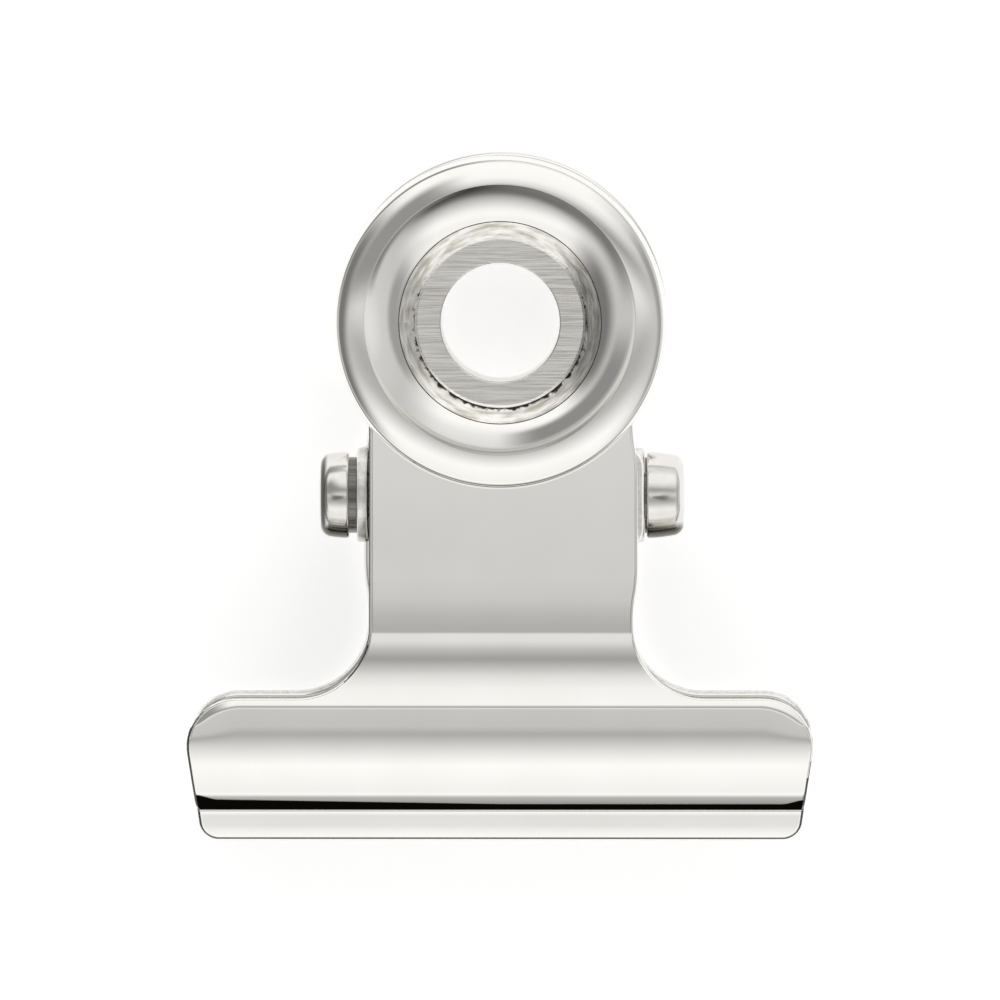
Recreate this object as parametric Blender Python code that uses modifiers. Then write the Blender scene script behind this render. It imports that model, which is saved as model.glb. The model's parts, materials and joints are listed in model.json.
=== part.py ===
"""Bulldog clip: two pressed leaves on a capped hinge pin, closed by a torsion spring.

The clip lies on its back. X runs along the hinge pin, +Y from the jaw to the discs, +Z up
through the front leaf. The origin is under the middle of the clip, on the table.
"""
import math

import bmesh
import bpy
from mathutils import Matrix, Vector

MM = 0.001

# Sheet and neck
SHEET = 0.55 * MM
NECK_FRONT = 4.0 * MM         # front of the neck, from the pin axis
NECK_INNER_EDGE = 6.73 * MM   # edge on the side of the inner ear
NECK_OUTER_EDGE = 7.1 * MM    # edge on the side of the outer ear
NECK_WAIST = 0.15 * MM        # the neck draws in by this much above the cove
NECK_BEND = 6.85 * MM         # pin axis to the bend where the jaw starts

# Disc handle, radii from its own centre and depths behind its ridge
DISC_CENTRE = 8.95 * MM
HOLE_RADIUS = 3.05 * MM
RING_RADIUS = 4.3 * MM
RECESS_RADIUS = 5.27 * MM
RIDGE_RADIUS = 7.02 * MM
RING_DEPTH = 1.75 * MM
RECESS_DEPTH = 0.96 * MM
DISH_TURN = math.radians(30)      # the dish steepens by this much on its way out to the ridge
SHOULDER_RADIUS = 3.4 * MM
SHOULDER_START = math.radians(2)
SHOULDER_LEAN = math.radians(18)
RIM_ROLL_RADIUS = 0.85 * MM
RIM_LEAN = math.radians(88)
RIM_SKIRT = 0.35 * MM
NECK_CUT_RADIUS = 8.1 * MM        # the neck stops here, inside the wall of the rim

# Jaw section: bend radii, and the lean of the face after each bend
BEND_RADIUS = 0.6 * MM
BEND_LEAN = math.radians(2)
COVE_BEND_RADIUS = 11.2 * MM
COVE_LEAN = math.radians(20)
BROW_RADIUS = 2.4 * MM
BROW_LEAN = math.radians(4)
CREST_RADIUS = 11.7 * MM
CREST_LEAN = math.radians(-3)
FOLD_RADIUS = 1.74 * MM
FOLD_LEAN = math.radians(-15)
FACE_RADIUS = 10.35 * MM
FACE_LEAN = math.radians(-28)
CURL_RADIUS = 1.0 * MM
CURL_LEAN = math.radians(-74)
LIP_BEND_RADIUS = 0.25 * MM
LIP_LEAN = math.radians(-11)
LIP_GAP = 0.3 * MM                # between the tips of the lips
LIP_BOTTOM = 17.62 * MM

# Jaw outline seen from the front
JAW_HALF_WIDTH = 16.0 * MM
LIP_HALF_WIDTH = 15.42 * MM
WING_TOP = 10.3 * MM
WING_RADIUS = 2.7 * MM
COVE_RADIUS = 3.65 * MM
LIP_CORNER_RADIUS = 0.85 * MM

# Ears and hinge
EAR_RADIUS = 2.4 * MM
EAR_ROOT = NECK_FRONT - 0.2 * MM
INNER_EAR_FACE = 6.7 * MM     # outer face of the inner ear
EAR_SIDE_GAP = 0.22 * MM      # between an inner ear and the outer ear beside it
PIN_RADIUS = 1.15 * MM
PIN_CLEARANCE = 0.05 * MM
CAP_RADIUS = 2.2 * MM
CAP_LENGTH = 1.85 * MM
CAP_EDGE_RADIUS = 0.75 * MM
CAP_DOME = 0.16 * MM
CAP_SIDE_GAP = 0.15 * MM
CAP_WALL = 0.3 * MM           # left between the pin's end and the outside of the cap's dome
SEAT_GAP = 0.3 * MM           # between pieces that touch on the real clip

# Spring
WIRE_DIAMETER = 0.6 * MM
COIL_RADIUS = 1.6 * MM
COIL_PITCH = 1.1 * MM
COIL_TURNS = 9.5              # ends half a turn apart, so each leg lies under its own leaf
POINTS_PER_TURN = 10
LEG_REACH = 2.4 * MM
LEG_BEND_RADIUS = 0.4 * MM
LEG_BEND_STEPS = 4
LEAST_COIL_GAP = 0.4 * MM

DISC_STEPS = 56
PIN_SIDES = 32
CAP_STEPS = 32
ARC_STEP = math.radians(9)

OUTER_EAR_FACE = INNER_EAR_FACE + EAR_SIDE_GAP + SHEET
CAP_SEAT = OUTER_EAR_FACE + CAP_SIDE_GAP
HOLE_IN_EAR = PIN_RADIUS + PIN_CLEARANCE


def steps_for(turn):
    return max(2, math.ceil(abs(turn) / ARC_STEP))


def bend(path, radius, lean):
    """Carry the jaw section round an arc until its face leans by this angle."""
    y, z, start = path[-1]
    signed = math.copysign(radius, lean - start)
    count = steps_for(lean - start)
    for step in range(1, count + 1):
        now = start + (lean - start) * step / count
        path.append((
            y - signed * (math.sin(now) - math.sin(start)),
            z - signed * (math.cos(now) - math.cos(start)),
            now,
        ))


def run(path, length):
    """Carry the jaw section straight on."""
    y, z, lean = path[-1]
    path.append((y - length * math.cos(lean), z + length * math.sin(lean), lean))


def section_to_crest():
    """Front of the neck and jaw, from under the disc down to the foremost line of the jaw."""
    path = [(DISC_CENTRE, NECK_FRONT, 0.0)]
    run(path, DISC_CENTRE + NECK_BEND)
    bend(path, BEND_RADIUS, BEND_LEAN)
    bend(path, COVE_BEND_RADIUS, COVE_LEAN)
    bend(path, BROW_RADIUS, BROW_LEAN)
    bend(path, CREST_RADIUS, 0.0)
    return path


# The disc's ridge stands as far forward as the jaw's crest, so the closed clip lies level.
RIDGE_FRONT = section_to_crest()[-1][1]


def leaf_section():
    """Front of the whole leaf from the neck to the tip of the lip, as (y, z) points."""
    path = section_to_crest()
    bend(path, CREST_RADIUS, CREST_LEAN)
    bend(path, FOLD_RADIUS, FOLD_LEAN)
    bend(path, FACE_RADIUS, FACE_LEAN)
    bend(path, CURL_RADIUS, CURL_LEAN)
    y, z, _ = path[-1]
    tip_front = LIP_GAP / 2 + SHEET * math.cos(LIP_LEAN)
    down = LIP_BOTTOM + y - LIP_BEND_RADIUS * (math.sin(LIP_LEAN) - math.sin(CURL_LEAN))
    back = z - tip_front - LIP_BEND_RADIUS * (math.cos(LIP_LEAN) - math.cos(CURL_LEAN))
    ledge = (back * math.cos(LIP_LEAN) + down * math.sin(LIP_LEAN)) / math.sin(LIP_LEAN - CURL_LEAN)
    lip = (down - ledge * math.cos(CURL_LEAN)) / math.cos(LIP_LEAN)
    run(path, ledge)
    bend(path, LIP_BEND_RADIUS, LIP_LEAN)
    run(path, lip)
    return [(y, z) for y, z, _ in path]


def arc(centre, radius, start, end):
    """Points on an arc in a plane, both ends included."""
    count = steps_for(end - start)
    angles = [start + (end - start) * step / count for step in range(count + 1)]
    return [(centre[0] + radius * math.cos(a), centre[1] + radius * math.sin(a)) for a in angles]


def arc_between(start, end, turn):
    """Points from start to end on an arc that turns by this angle, left turns being positive."""
    chord = Vector(end) - Vector(start)
    radius = chord.length / (2 * math.sin(turn / 2))
    side = Vector((-chord.y, chord.x)).normalized()
    centre = Vector(start) + chord / 2 + side * radius * math.cos(turn / 2)
    first = math.atan2(start[1] - centre.y, start[0] - centre.x)
    return arc(centre, abs(radius), first, first + turn)


def side_outline(neck_edge):
    """Right-hand outline of the leaf from the neck down to the lip, for one neck edge."""
    quarter = math.pi / 2
    waist = neck_edge - NECK_WAIST
    cove_centre = (waist + COVE_RADIUS, COVE_RADIUS - WING_TOP)
    wing_centre = (JAW_HALF_WIDTH - WING_RADIUS, -WING_TOP - WING_RADIUS)
    corner_centre = (LIP_HALF_WIDTH - LIP_CORNER_RADIUS, LIP_CORNER_RADIUS - LIP_BOTTOM)
    points = [(neck_edge, DISC_CENTRE - math.sqrt(NECK_CUT_RADIUS ** 2 - neck_edge ** 2))]
    points.append((neck_edge, -EAR_RADIUS))
    points += arc(cove_centre, COVE_RADIUS, 2 * quarter, 3 * quarter)
    points += arc(wing_centre, WING_RADIUS, quarter, 0.0)
    points += arc(corner_centre, LIP_CORNER_RADIUS, 0.0, -quarter)
    return points


def leaf_outline():
    """Whole outline of the neck and jaw seen from the front, with the inner ear at -X."""
    right = side_outline(NECK_OUTER_EDGE)
    left = [(-x, y) for x, y in reversed(side_outline(NECK_INNER_EDGE))]
    first = math.atan2(left[-1][1] - DISC_CENTRE, left[-1][0])
    last = math.atan2(right[0][1] - DISC_CENTRE, right[0][0])
    top = arc((0.0, DISC_CENTRE), NECK_CUT_RADIUS, first, last)
    return right + left + top[1:-1]


def disc_shoulder():
    """Front of the disc outside its ridge, as (radius, height, lean) points down to the rim."""
    path = [(-RIDGE_RADIUS, RIDGE_FRONT, -SHOULDER_START)]
    bend(path, SHOULDER_RADIUS, -SHOULDER_LEAN)
    bend(path, RIM_ROLL_RADIUS, -RIM_LEAN)
    run(path, RIM_SKIRT)
    return [(-across, height, -lean) for across, height, lean in path]


def disc_section():
    """Section of the disc as (radius, height) points: out along the front, back along the rear."""
    ring_front = RIDGE_FRONT - RING_DEPTH
    recess_edge = (RECESS_RADIUS, RIDGE_FRONT - RECESS_DEPTH)
    inside = [(HOLE_RADIUS, ring_front), (RING_RADIUS, ring_front)]
    inside += arc_between(recess_edge, (RIDGE_RADIUS, RIDGE_FRONT), DISH_TURN)
    shoulder = disc_shoulder()
    front = inside + [(radius, height) for radius, height, _ in shoulder[1:]]
    rear = [(r - SHEET * math.sin(lean), z - SHEET * math.cos(lean)) for r, z, lean in reversed(shoulder[1:])]
    rear += [(radius, height - SHEET) for radius, height in reversed(inside)]
    return front + rear


RIM_RADIUS = disc_shoulder()[-1][0]
PIN_CENTRE = Vector((0.0, (LIP_BOTTOM - DISC_CENTRE - RIM_RADIUS) / 2, RIDGE_FRONT))


def cap_section():
    """Section of a pin cap as (radius, height) points, its blind bore opening downwards."""
    bore = PIN_RADIUS + PIN_CLEARANCE
    side = CAP_LENGTH - CAP_DOME
    edge_centre = (CAP_RADIUS - CAP_EDGE_RADIUS, side - CAP_EDGE_RADIUS)
    outside = [(0.0, CAP_LENGTH)]
    outside += arc(edge_centre, CAP_EDGE_RADIUS, math.pi / 2, 0.0)
    outside += [(CAP_RADIUS, 0.0)]
    inside = [(bore, 0.0), (bore, side - CAP_WALL), (0.0, side - CAP_WALL)]
    return outside + inside


def spring_path():
    """Centre line of the spring wire, from the front leaf round the pin to the rear leaf."""
    start_x = -COIL_PITCH * COIL_TURNS / 2
    tip = NECK_FRONT - SHEET - SEAT_GAP
    bend_centre = (LEG_REACH - LEG_BEND_RADIUS, COIL_RADIUS + LEG_BEND_RADIUS)
    leg = [(LEG_REACH, tip)]
    for step in range(LEG_BEND_STEPS + 1):
        angle = math.pi / 2 * step / LEG_BEND_STEPS
        leg.append((
            bend_centre[0] + LEG_BEND_RADIUS * math.cos(angle),
            bend_centre[1] - LEG_BEND_RADIUS * math.sin(angle),
        ))
    path = [Vector((start_x, y, z)) for y, z in leg]
    count = round(COIL_TURNS * POINTS_PER_TURN)
    for step in range(count + 1):
        angle = 2 * math.pi * step / POINTS_PER_TURN
        x = start_x + COIL_PITCH * step / POINTS_PER_TURN
        path.append(Vector((x, -COIL_RADIUS * math.sin(angle), COIL_RADIUS * math.cos(angle))))
    path += [Vector((-start_x, y, -z)) for y, z in reversed(leg)]
    return path


def least_gap(path, wire, points_apart):
    """Least clear distance between stretches of the wire that are this many points apart."""
    nearest = min(
        (path[late] - path[early]).length
        for early in range(len(path))
        for late in range(early + points_apart, len(path))
    )
    return nearest - wire


def clear_scene():
    for thing in list(bpy.data.objects):
        bpy.data.objects.remove(thing, do_unlink=True)


def new_collection(name):
    group = bpy.data.collections.new(name)
    bpy.context.scene.collection.children.link(group)
    return group


def new_object(name, data, group):
    thing = bpy.data.objects.new(name, data)
    group.objects.link(thing)
    return thing


def finish_mesh(curve_object, group):
    """Replace a curve object by a welded mesh object of the same name and place."""
    graph = bpy.context.evaluated_depsgraph_get()
    mesh = bpy.data.meshes.new_from_object(curve_object.evaluated_get(graph))
    welder = bmesh.new()
    welder.from_mesh(mesh)
    bmesh.ops.remove_doubles(welder, verts=welder.verts, dist=0.001 * MM)
    bmesh.ops.recalc_face_normals(welder, faces=welder.faces)
    welder.to_mesh(mesh)
    welder.free()
    name = curve_object.name
    place = curve_object.matrix_world.copy()
    bpy.data.objects.remove(curve_object, do_unlink=True)
    solid = new_object(name, mesh, group)
    solid.matrix_world = place
    return solid


def plate(name, outline, thickness, group):
    """Flat plate with this outline, half of its thickness on each side of its own plane."""
    curve = bpy.data.curves.new(name, "CURVE")
    curve.dimensions = "2D"
    curve.fill_mode = "BOTH"
    curve.extrude = thickness / 2
    spline = curve.splines.new("POLY")
    spline.points.add(len(outline) - 1)
    for point, (x, y) in zip(spline.points, outline):
        point.co = (x, y, 0.0, 1.0)
    spline.use_cyclic_u = True
    return finish_mesh(new_object(name, curve, group), group)


def turned(name, section, steps, closed, group):
    """Solid turned about its own Z axis from a section that runs down its outer side."""
    mesh = bpy.data.meshes.new(name)
    edges = [(i, i + 1) for i in range(len(section) - 1)]
    if closed:
        edges.append((len(section) - 1, 0))
    mesh.from_pydata([(radius, 0.0, height) for radius, height in section], edges, [])
    solid = new_object(name, mesh, group)
    screw = solid.modifiers.new("Turn", "SCREW")
    screw.steps = steps
    screw.render_steps = steps
    screw.use_merge_vertices = True
    screw.merge_threshold = 0.001 * MM
    return solid


def rod(name, radius, length, sides, group):
    """Round bar along X, centred on its origin."""
    mesh = bpy.data.meshes.new(name)
    bar = bmesh.new()
    bmesh.ops.create_cone(
        bar, cap_ends=True, segments=sides, radius1=radius, radius2=radius, depth=length,
        matrix=Matrix.Rotation(math.pi / 2, 4, "Y"),
    )
    bar.to_mesh(mesh)
    bar.free()
    return new_object(name, mesh, group)


def bent_strip(name, section, half_width, group):
    """Sheet bent to the section and straight along X, its front on the section itself."""
    mesh = bpy.data.meshes.new(name)
    sheet = bmesh.new()
    line = [sheet.verts.new((-half_width, y, z)) for y, z in section]
    edges = [sheet.edges.new(pair) for pair in zip(line, line[1:])]
    drawn = bmesh.ops.extrude_edge_only(sheet, edges=edges)["geom"]
    moved = [item for item in drawn if isinstance(item, bmesh.types.BMVert)]
    bmesh.ops.translate(sheet, verts=moved, vec=(2 * half_width, 0.0, 0.0))
    sheet.normal_update()
    if sum(face.normal.z for face in sheet.faces) < 0:
        bmesh.ops.reverse_faces(sheet, faces=sheet.faces)
    sheet.to_mesh(mesh)
    sheet.free()
    strip = new_object(name, mesh, group)
    wall = strip.modifiers.new("Sheet", "SOLIDIFY")
    wall.thickness = SHEET
    wall.offset = -1.0
    wall.use_even_offset = True
    return strip


def combine(solid, operation, other):
    step = solid.modifiers.new(operation.title() + " " + other.name, "BOOLEAN")
    step.operation = operation
    step.solver = "EXACT"
    step.object = other


def hide_cutter(cutter):
    cutter.hide_render = True
    cutter.display_type = "WIRE"


def ear(name, centre_x, group):
    """Side ear: a round-ended tab from the neck to the pin."""
    outline = [(-EAR_RADIUS, EAR_ROOT)]
    outline += arc((0.0, 0.0), EAR_RADIUS, math.pi, 2 * math.pi)
    outline += [(EAR_RADIUS, EAR_ROOT)]
    tab = plate(name, outline, SHEET, group)
    upright = Matrix(((0, 0, 1, centre_x), (1, 0, 0, 0), (0, 1, 0, 0), (0, 0, 0, 1)))
    tab.matrix_world = upright
    return tab


def leaf_mesh(cutters):
    """One leaf about the pin axis: jaw and neck, disc and two ears in one sheet."""
    leaf = bent_strip("leaf", leaf_section(), JAW_HALF_WIDTH + 1 * MM, cutters)
    outline = plate("leaf_outline", leaf_outline(), 20 * MM, cutters)
    disc = turned("leaf_disc", disc_section(), DISC_STEPS, True, cutters)
    disc.location = (0.0, DISC_CENTRE, 0.0)
    inner_ear = ear("leaf_inner_ear", SHEET / 2 - INNER_EAR_FACE, cutters)
    outer_ear = ear("leaf_outer_ear", OUTER_EAR_FACE - SHEET / 2, cutters)
    pin_hole = rod("leaf_pin_hole", HOLE_IN_EAR, 4 * OUTER_EAR_FACE, PIN_SIDES, cutters)
    combine(leaf, "INTERSECT", outline)
    for piece in (disc, inner_ear, outer_ear):
        combine(leaf, "UNION", piece)
    combine(leaf, "DIFFERENCE", pin_hole)
    for cutter in (outline, disc, inner_ear, outer_ear, pin_hole, leaf):
        hide_cutter(cutter)
    bpy.context.view_layer.update()
    graph = bpy.context.evaluated_depsgraph_get()
    return bpy.data.meshes.new_from_object(leaf.evaluated_get(graph))


def metal(name, colour, roughness):
    finish = bpy.data.materials.new(name)
    finish.use_nodes = True
    shader = finish.node_tree.nodes["Principled BSDF"]
    shader.inputs["Base Color"].default_value = (*colour, 1.0)
    shader.inputs["Metallic"].default_value = 1.0
    shader.inputs["Roughness"].default_value = roughness
    return finish


def dress(solid, finish, smooth_angle):
    """Give a part its material and smooth shading up to this edge angle."""
    solid.data.materials.clear()
    solid.data.materials.append(finish)
    solid.data.shade_smooth()
    solid.data.set_sharp_from_angle(angle=smooth_angle)


def make_leaves(parts, cutters):
    mesh = leaf_mesh(cutters)
    front = new_object("front_leaf", mesh, parts)
    front.matrix_world = Matrix.Translation(PIN_CENTRE)
    rear = new_object("rear_leaf", mesh.copy(), parts)
    rear.matrix_world = Matrix.Translation(PIN_CENTRE) @ Matrix.Rotation(math.pi, 4, "Y")
    dress(front, metal("polished_silver_front", (0.86, 0.85, 0.83), 0.08), math.radians(30))
    dress(rear, metal("polished_silver_rear", (0.86, 0.85, 0.83), 0.08), math.radians(30))


def make_pin(parts):
    length = 2 * (CAP_SEAT + CAP_LENGTH - CAP_DOME - CAP_WALL - SEAT_GAP)
    pin = rod("hinge_pin", PIN_RADIUS, length, PIN_SIDES, parts)
    pin.location = PIN_CENTRE
    dress(pin, metal("drawn_pin_metal", (0.55, 0.54, 0.52), 0.25), math.radians(30))


def make_caps(parts):
    for name, side in (("left_pin_cap", -1), ("right_pin_cap", 1)):
        cap = turned(name, cap_section(), CAP_STEPS, False, parts)
        seat = Matrix.Translation(PIN_CENTRE + Vector((side * CAP_SEAT, 0.0, 0.0)))
        cap.matrix_world = seat @ Matrix.Rotation(side * math.pi / 2, 4, "Y")
        dress(cap, metal(name + "_metal", (0.80, 0.79, 0.76), 0.12), math.radians(40))


def make_spring(parts):
    path = spring_path()
    gap = least_gap(path, WIRE_DIAMETER, POINTS_PER_TURN // 2)
    print(f"spring: least gap between curls {gap / MM:.2f} mm, wanted over {LEAST_COIL_GAP / MM:.2f} mm")
    curve = bpy.data.curves.new("torsion_spring", "CURVE")
    curve.dimensions = "3D"
    curve.bevel_depth = WIRE_DIAMETER / 2
    curve.bevel_resolution = 1
    curve.use_fill_caps = True
    spline = curve.splines.new("POLY")
    spline.points.add(len(path) - 1)
    for point, place in zip(spline.points, path):
        point.co = (*place, 1.0)
    wire = new_object("torsion_spring", curve, parts)
    wire.location = PIN_CENTRE
    bpy.context.view_layer.update()
    spring = finish_mesh(wire, parts)
    dress(spring, metal("spring_wire", (0.45, 0.45, 0.45), 0.3), math.radians(60))


def main():
    clear_scene()
    parts = new_collection("bulldog_clip")
    cutters = new_collection("cutters")
    make_leaves(parts, cutters)
    make_pin(parts)
    make_caps(parts)
    make_spring(parts)
    print(f"pin axis {PIN_CENTRE.z / MM:.3f} mm up, {PIN_CENTRE.y / MM:.3f} mm from the middle")


main()
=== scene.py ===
import json
import math

import bmesh
import bpy
from mathutils import Matrix, Vector


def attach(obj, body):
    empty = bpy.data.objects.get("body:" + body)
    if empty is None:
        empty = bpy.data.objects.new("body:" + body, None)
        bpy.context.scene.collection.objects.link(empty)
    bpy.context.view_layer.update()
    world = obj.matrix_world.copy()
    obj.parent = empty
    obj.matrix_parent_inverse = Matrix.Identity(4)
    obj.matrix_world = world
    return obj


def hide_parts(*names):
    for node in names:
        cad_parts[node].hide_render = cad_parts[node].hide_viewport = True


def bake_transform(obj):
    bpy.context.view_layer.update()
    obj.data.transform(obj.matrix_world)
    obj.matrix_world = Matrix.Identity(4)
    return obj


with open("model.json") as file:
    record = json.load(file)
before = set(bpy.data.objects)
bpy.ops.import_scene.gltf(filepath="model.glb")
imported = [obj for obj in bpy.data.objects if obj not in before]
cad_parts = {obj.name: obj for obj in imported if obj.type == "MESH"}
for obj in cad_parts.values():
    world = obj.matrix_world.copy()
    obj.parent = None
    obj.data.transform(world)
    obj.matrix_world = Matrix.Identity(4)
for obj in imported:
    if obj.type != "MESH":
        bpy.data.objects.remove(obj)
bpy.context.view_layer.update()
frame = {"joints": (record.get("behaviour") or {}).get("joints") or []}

mm = 0.001
pinCentre = Vector(frame["joints"][0]["pos_m"])
cutterHeight = 4.0                  # mm, more than the sheet is thick
sharpEdge = math.radians(60)        # edges that turn further are rounded

# Every piece is modelled in millimetres about the pin axis, x along the pin, y up to the disc,
# z out through the front, and settle() brings it to its place in metres at the end.


# small helpers

def deselectAll():
    if bpy.context.mode != "OBJECT":
        bpy.ops.object.mode_set(mode="OBJECT")
    bpy.ops.object.select_all(action="DESELECT")


def makeActive(piece):
    deselectAll()
    piece.select_set(True)
    bpy.context.view_layer.objects.active = piece


def editPiece(piece):
    makeActive(piece)
    bpy.ops.object.mode_set(mode="EDIT")
    bpy.ops.mesh.select_all(action="DESELECT")


def pickAll(kind=None):
    if kind:
        bpy.ops.mesh.select_mode(type=kind)
    bpy.ops.mesh.select_all(action="SELECT")


def pick(piece, kind, test):
    # selects the points, edges or faces that pass the test
    bpy.ops.mesh.select_mode(type=kind)
    bpy.ops.mesh.select_all(action="DESELECT")
    cage = bmesh.from_edit_mesh(piece.data)
    for part in {"VERT": cage.verts, "EDGE": cage.edges, "FACE": cage.faces}[kind]:
        part.select = test(part)
    if kind == "VERT":
        cage.select_flush(True)
    bmesh.update_edit_mesh(piece.data)


def pickVerts(piece, test):
    pick(piece, "VERT", lambda vert: test(vert.co))


def pickEdges(piece, test):
    pick(piece, "EDGE", lambda edge: test(edge.verts[0].co, edge.verts[1].co))


def pickFaces(piece, test):
    pick(piece, "FACE", lambda face: test(face.calc_center_median(), face.normal))


def near(a, b, slack=0.01):
    return abs(a - b) < slack


def clamp(share):
    return min(max(share, 0.0), 1.0)


def extrudeBy(x, y, z):
    bpy.ops.mesh.extrude_region_move(TRANSFORM_OT_translate={"value": (x, y, z)})


def layFlat(name, width, height, x, y):
    # flat sheet of this size about x, y, ready to be worked on
    deselectAll()
    bpy.ops.mesh.primitive_plane_add(size=1.0)
    sheet = bpy.context.object
    sheet.name = name
    editPiece(sheet)
    pickAll()
    bpy.ops.transform.resize(value=(width, height, 1.0), center_override=(0, 0, 0))
    bpy.ops.transform.translate(value=(x, y, 0))
    return sheet


def cutPicked(place, normal):
    # new points where this plane meets what is selected
    bpy.ops.mesh.bisect(plane_co=place, plane_no=normal, threshold=1e-5)


def cutRow(place, normal):
    pickAll()
    cutPicked(place, normal)


def closeUp():
    # merges the seam of a spin and turns the faces outward
    pickAll()
    bpy.ops.mesh.remove_doubles(threshold=0.0005)
    bpy.ops.mesh.normals_make_consistent(inside=False)


def applyModifier(piece, kind, **values):
    makeActive(piece)
    step = piece.modifiers.new(kind.title(), kind)
    for key, value in values.items():
        setattr(step, key, value)
    bpy.ops.object.modifier_apply(modifier=step.name)


def cutWith(piece, cutter):
    applyModifier(piece, "BOOLEAN", operation="DIFFERENCE", solver="EXACT", object=cutter)
    bpy.data.objects.remove(cutter, do_unlink=True)


def smoothShade(piece, degrees):
    makeActive(piece)
    bpy.ops.object.shade_smooth_by_angle(angle=math.radians(degrees))


def settle(piece, turn=Matrix.Identity(4)):
    # millimetres about the pin become metres in the clip's own frame
    deselectAll()
    piece.data.transform(Matrix.Translation(pinCentre) @ Matrix.Scale(mm, 4) @ turn)
    piece.data.update()


# materials

def hexColour(code):
    # sRGB hex to linear
    channels = [int(code[i:i + 2], 16) / 255 for i in (1, 3, 5)]
    linear = [c / 12.92 if c <= 0.04045 else ((c + 0.055) / 1.055) ** 2.4 for c in channels]
    return (*linear, 1.0)


def addNode(tree, kind, inputs=None, **settings):
    node = tree.nodes.new("ShaderNode" + kind)
    for key, value in settings.items():
        setattr(node, key, value)
    feed(tree, node, inputs or {})
    return node


def feed(tree, node, inputs):
    # an input gets a value, or a link from a socket or from the first output in use of a node
    for key, source in inputs.items():
        if isinstance(source, bpy.types.Node):
            source = next(socket for socket in source.outputs if socket.enabled)
        if isinstance(source, bpy.types.NodeSocket):
            tree.links.new(source, node.inputs[key])
        else:
            node.inputs[key].default_value = source


def newMetal(name, roughness):
    metal = bpy.data.materials.new(name)
    metal.use_nodes = True
    tree = metal.node_tree
    shader = tree.nodes["Principled BSDF"]
    feed(tree, shader, {"Metallic": 1.0, "Roughness": roughness})
    place = addNode(tree, "TexCoord").outputs["Object"]
    return metal, tree, shader, place


def perMm(size):
    # noise scale for features of this size in millimetres on Object coordinates in metres
    return 1.0 / (size * mm)


def rampStops(ramp, stops):
    ramp.interpolation = "LINEAR"
    while len(ramp.elements) > 1:
        ramp.elements.remove(ramp.elements[-1])
    for index, (position, colour) in enumerate(stops):
        stop = ramp.elements[0] if index == 0 else ramp.elements.new(position)
        stop.position = position
        stop.color = colour


def twoTone(tree, where, s, size, detail):
    # noise with features of this size in millimetres that goes from the dull colour to the pale
    # between the two levels of "tones"
    noise = addNode(tree, "TexNoise", {"Vector": where, "Scale": perMm(size), "Detail": detail})
    ramp = addNode(tree, "ValToRGB", {"Fac": noise})
    rampStops(ramp.color_ramp, zip(s["tones"], (hexColour(s["dull"]), hexColour(s["pale"]))))
    return noise, ramp


silverPlate = {
    "pale": "#F6F5F2",
    "dull": "#F0EEEA",
    "roughness": (0.045, 0.085),
    "roughFrom": (0.1, 0.45),       # patches times hairlines, where the roughness starts and is full
    "patch": 3.0,           # mm, size of the cloudy patches left by the polishing mop
    "mopLine": 0.06,        # mm, width of the hairlines the mop leaves along x
    "mopLength": 5.0,       # mm
    "foldTop": 15.64,       # mm below the pin, where the painted shade of the fold starts
    "foldBottom": 16.08,
    "foldSoft": (0.03, 0.02),       # mm, softness of its upper and lower border
    "foldRise": (15.0, 0.24),       # mm along the jaw to the left, and how far the painted shade climbs there
    "foldEnd": (14.4, 15.6, 0.22),  # mm, start and end of its climb round the jaw's ends, and the climb
    # colour of the painted shade in the fold
    "foldShade": "#0E0D0B",
    "foldRough": 0.7,       # the painted shade is rougher by this much
    "gleam": 0.5,           # specular level outside it
}


def makeSilverPlate():
    # silver-plated steel sheet, pressed and mop polished: a near mirror with faint cloudy
    # patches and hairlines that soften the reflections a little, and painted shade: a near-black
    # strip in the fold above the lip
    s = silverPlate
    metal, tree, shader, place = newMetal("silver plated sheet, mop polished", s["roughness"][0])
    cloud = addNode(tree, "TexNoise", {"Vector": place, "Scale": perMm(s["patch"]), "Detail": 3.0})
    colour = addNode(tree, "Mix", {"Factor": cloud, 6: hexColour(s["pale"]), 7: hexColour(s["dull"])},
                     data_type="RGBA")
    stretch = addNode(tree, "Mapping", {"Vector": place,
                                        "Scale": (s["mopLine"] / s["mopLength"], 1.0, 1.0)})
    hairlines = addNode(tree, "TexNoise", {"Vector": stretch, "Scale": perMm(s["mopLine"]),
                                           "Detail": 2.0})
    mixed = addNode(tree, "Math", {0: cloud, 1: hairlines}, operation="MULTIPLY")
    (low, high), (fine, coarse) = s["roughFrom"], s["roughness"]
    rough = addNode(tree, "MapRange", {"Value": mixed, "From Min": low, "From Max": high,
                                       "To Min": fine, "To Max": coarse})
    bump = addNode(tree, "Bump", {"Height": hairlines, "Strength": 0.02, "Distance": 0.002 * mm})
    # the painted shade in the fold is no metal, rough and hardly shines
    fold = foldShadeMask(tree, place)
    foldShaded = addNode(tree, "Mix", {"Factor": fold, 6: colour, 7: hexColour(s["foldShade"])},
                        data_type="RGBA")
    bare = addNode(tree, "Math", {0: 1.0, 1: fold}, operation="SUBTRACT")
    dulled = addNode(tree, "Math", {0: fold, 1: s["foldRough"], 2: rough}, operation="MULTIPLY_ADD")
    gleam = addNode(tree, "Math", {0: bare, 1: s["gleam"]}, operation="MULTIPLY")
    feed(tree, shader, {"Base Color": foldShaded, "Metallic": bare, "Specular IOR Level": gleam,
                        "Roughness": dulled, "Normal": bump})
    return metal


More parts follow.
